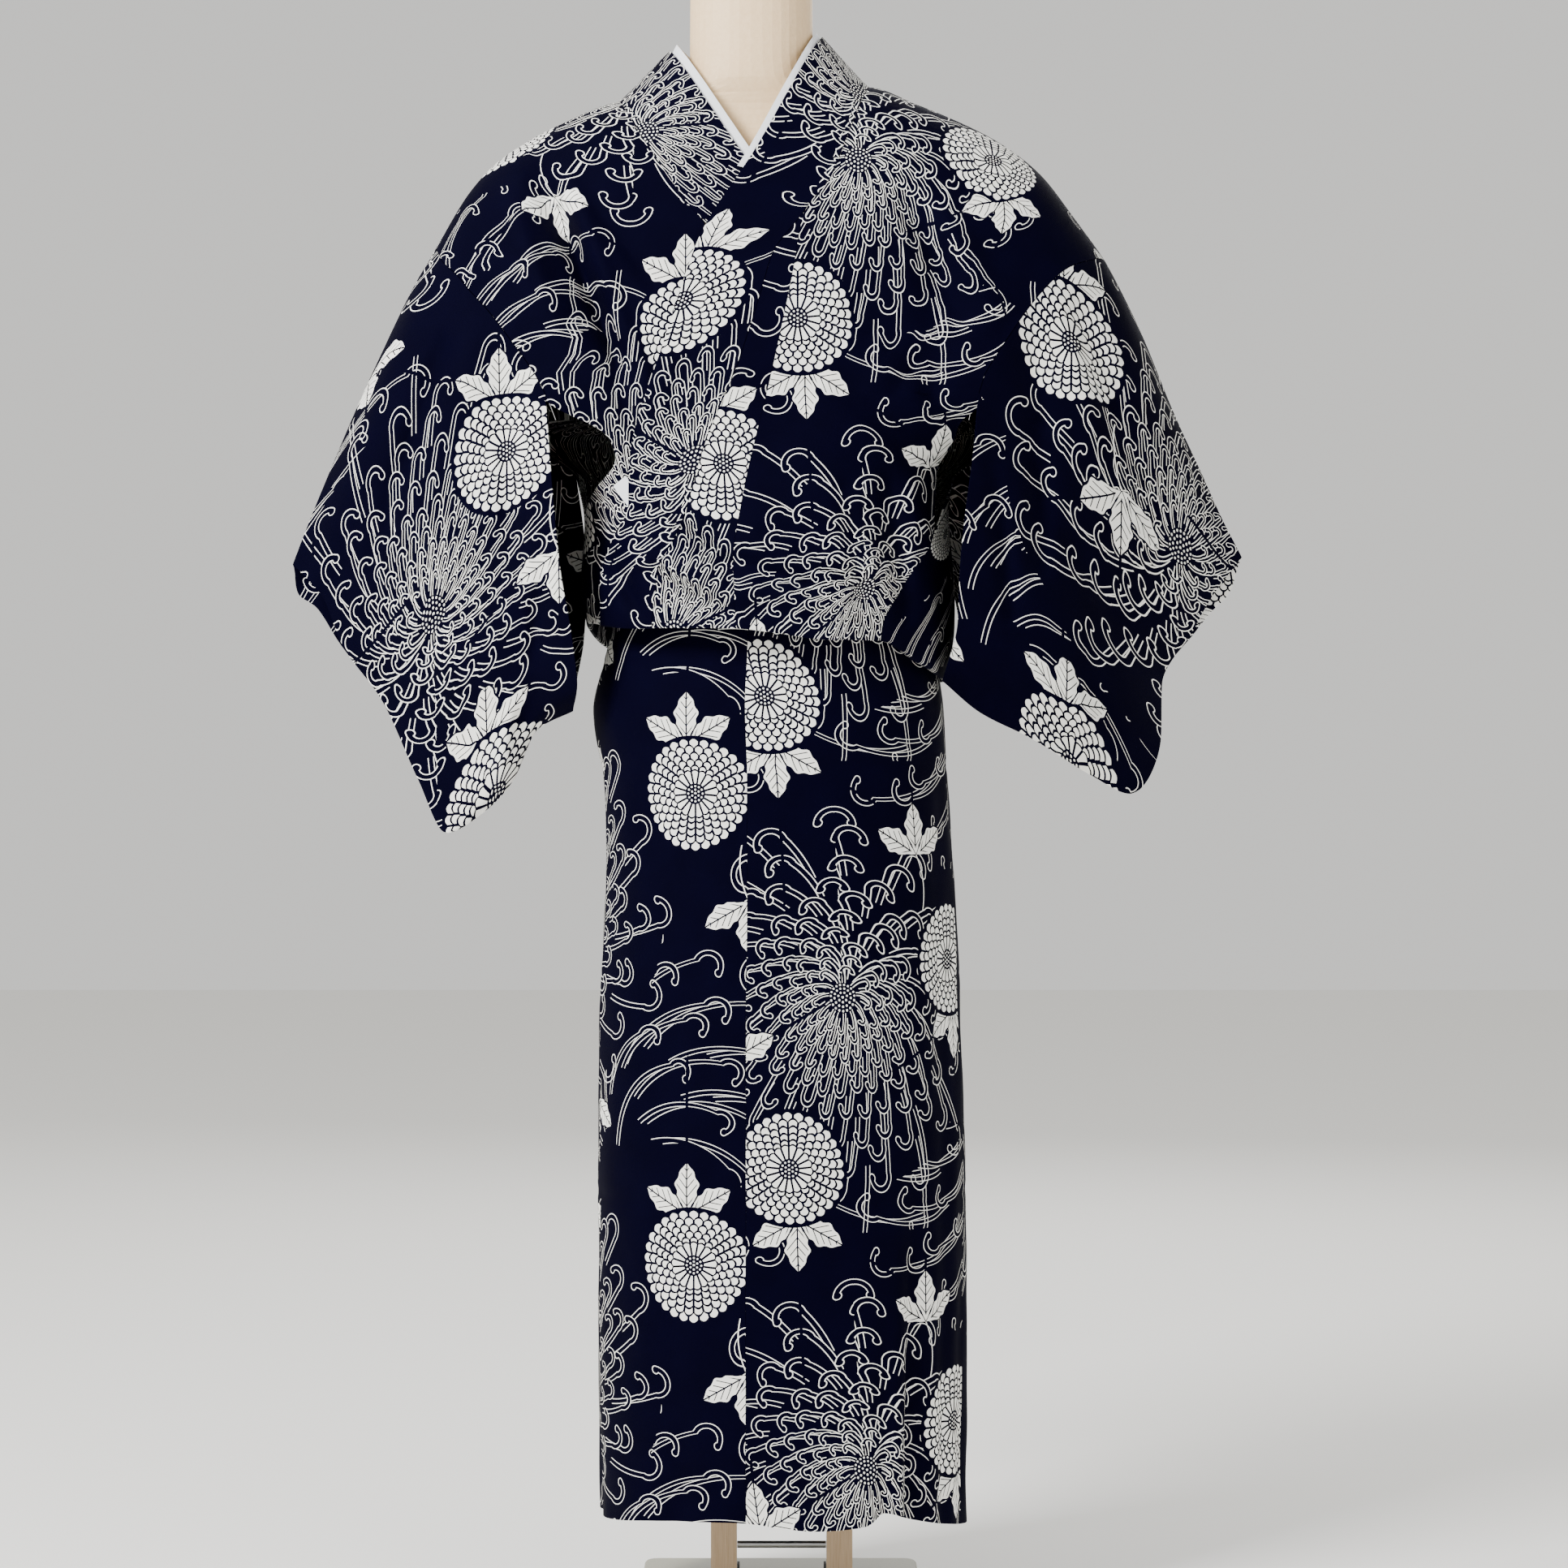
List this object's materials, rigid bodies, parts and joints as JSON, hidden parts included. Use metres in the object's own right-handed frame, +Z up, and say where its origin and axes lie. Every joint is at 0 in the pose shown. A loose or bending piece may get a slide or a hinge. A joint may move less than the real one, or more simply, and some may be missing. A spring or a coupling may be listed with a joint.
{
  "type": "cotton yukata robe on a limbless dress form",
  "caption": "Navy cotton yukata with white chrysanthemums, worn left over right on a limbless dress form with a plate stand.",
  "frame": {"origin": "the middle of the base plate's underside, on the floor", "axes": "+Z up, front towards -Y, the wearer's left at +X"},
  "size_m": [0.8204, 0.293, 1.4],
  "materials": {
    "navy_cotton": "plain-weave cotton, navy ground with a white chrysanthemum print",
    "white_cotton": "plain white cotton",
    "form_cream": "smooth cream cover",
    "form_black": "smooth black cover",
    "post_wood": "lacquered pale wood",
    "rod_steel": "brushed",
    "bracket_black": "black paint",
    "plate_paint": "olive-grey satin paint"
  },
  "bodies": {
    "root": {"body_left_upper": "navy_cotton", "body_right_upper": "navy_cotton", "overlap_left_upper": "navy_cotton", "overlap_right_upper": "navy_cotton", "collar": "navy_cotton", "half_collar": "white_cotton", "waist_tie": "white_cotton", "sleeve_left": "navy_cotton", "sleeve_right": "navy_cotton", "overlap_right_skirt": "navy_cotton", "skirt_front_right": "navy_cotton", "skirt_back_right": "navy_cotton", "skirt_back_left": "navy_cotton", "skirt_front_left": "navy_cotton", "overlap_left_skirt": "navy_cotton", "form_neck": "form_cream", "form_torso": "form_black", "post_left": "post_wood", "post_right": "post_wood", "cross_rod": "rod_steel", "foot_bracket_left": "bracket_black", "foot_bracket_right": "bracket_black", "base_plate": "plate_paint"}
  },
  "joints": []
}
